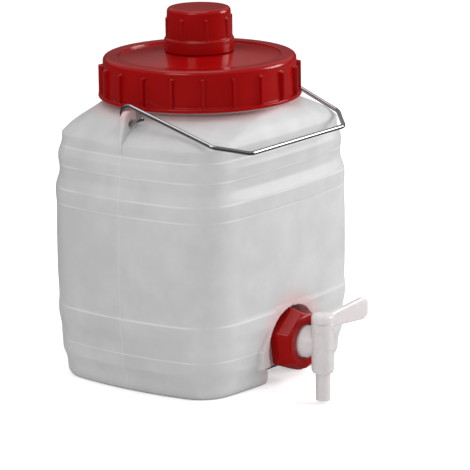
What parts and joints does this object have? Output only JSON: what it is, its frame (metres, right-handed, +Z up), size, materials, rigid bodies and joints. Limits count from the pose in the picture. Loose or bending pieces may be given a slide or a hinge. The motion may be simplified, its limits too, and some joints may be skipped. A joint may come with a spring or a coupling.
{
  "type": "jerrycan with tap",
  "caption": "Translucent plastic can with a wide screw lid, a small pour cap on it, a wire bail on moulded ears, and a lever tap in a recess at the front foot.",
  "frame": {"origin": "centre of the can's flat foot, on the plane it stands on; the tap's nozzle reaches below that plane in front of the foot", "axes": "+Z up, -Y towards the tap and the front face, +X to the right seen from the front, where the closed tap's lever points; the bail's ears are on the two X sides"},
  "size_m": [0.185, 0.1857, 0.2614],
  "materials": {
    "can": "translucent, softly satin",
    "red_plastic": "gloss",
    "foam": "matt foam",
    "wire": "bright",
    "tap_plastic": "translucent, semi-gloss",
    "seal": "pale matt"
  },
  "bodies": {
    "can": {"can_body": "can", "tap_body": "tap_plastic", "tap_gasket": "seal", "tap_nut": "red_plastic"},
    "neck_seal": {"lid_gasket": "foam"},
    "lid": {"lid": "red_plastic"},
    "cap_seal": {"pour_cap_liner": "foam"},
    "cap": {"pour_cap": "red_plastic"},
    "bail": {"bail": "wire"},
    "plug": {"tap_plug": "tap_plastic"}
  },
  "joints": [
    {"name": "bail_swing", "type": "hinge", "parent": "can", "child": "bail", "pos_m": [0, 0, 0.1888], "axis": [-1, 0, 0], "range_deg": [0, 200]},
    {"name": "lid_lift", "type": "slide", "parent": "can", "child": "neck_seal", "axis": [0, 0, 1], "range_m": [0, 0.009]},
    {"name": "lid_turn", "type": "hinge", "parent": "neck_seal", "child": "lid", "pos_m": [0, 0, 0.2], "axis": [0, 0, 1], "range_deg": [0, 540]},
    {"name": "cap_lift", "type": "slide", "parent": "lid", "child": "cap_seal", "axis": [0, 0, 1], "range_m": [0, 0.006]},
    {"name": "cap_turn", "type": "hinge", "parent": "cap_seal", "child": "cap", "pos_m": [0, 0, 0.235], "axis": [0, 0, 1], "range_deg": [0, 540]},
    {"name": "plug_turn", "type": "hinge", "parent": "can", "child": "plug", "pos_m": [0, -0.101, 0.02], "axis": [0, 0, 1], "range_deg": [-90, 0]}
  ],
  "couplings": [
    {"joint": "lid_lift", "follows": "lid_turn", "m_per_rad": 0.00095493},
    {"joint": "cap_lift", "follows": "cap_turn", "m_per_rad": 0.00063662}
  ]
}
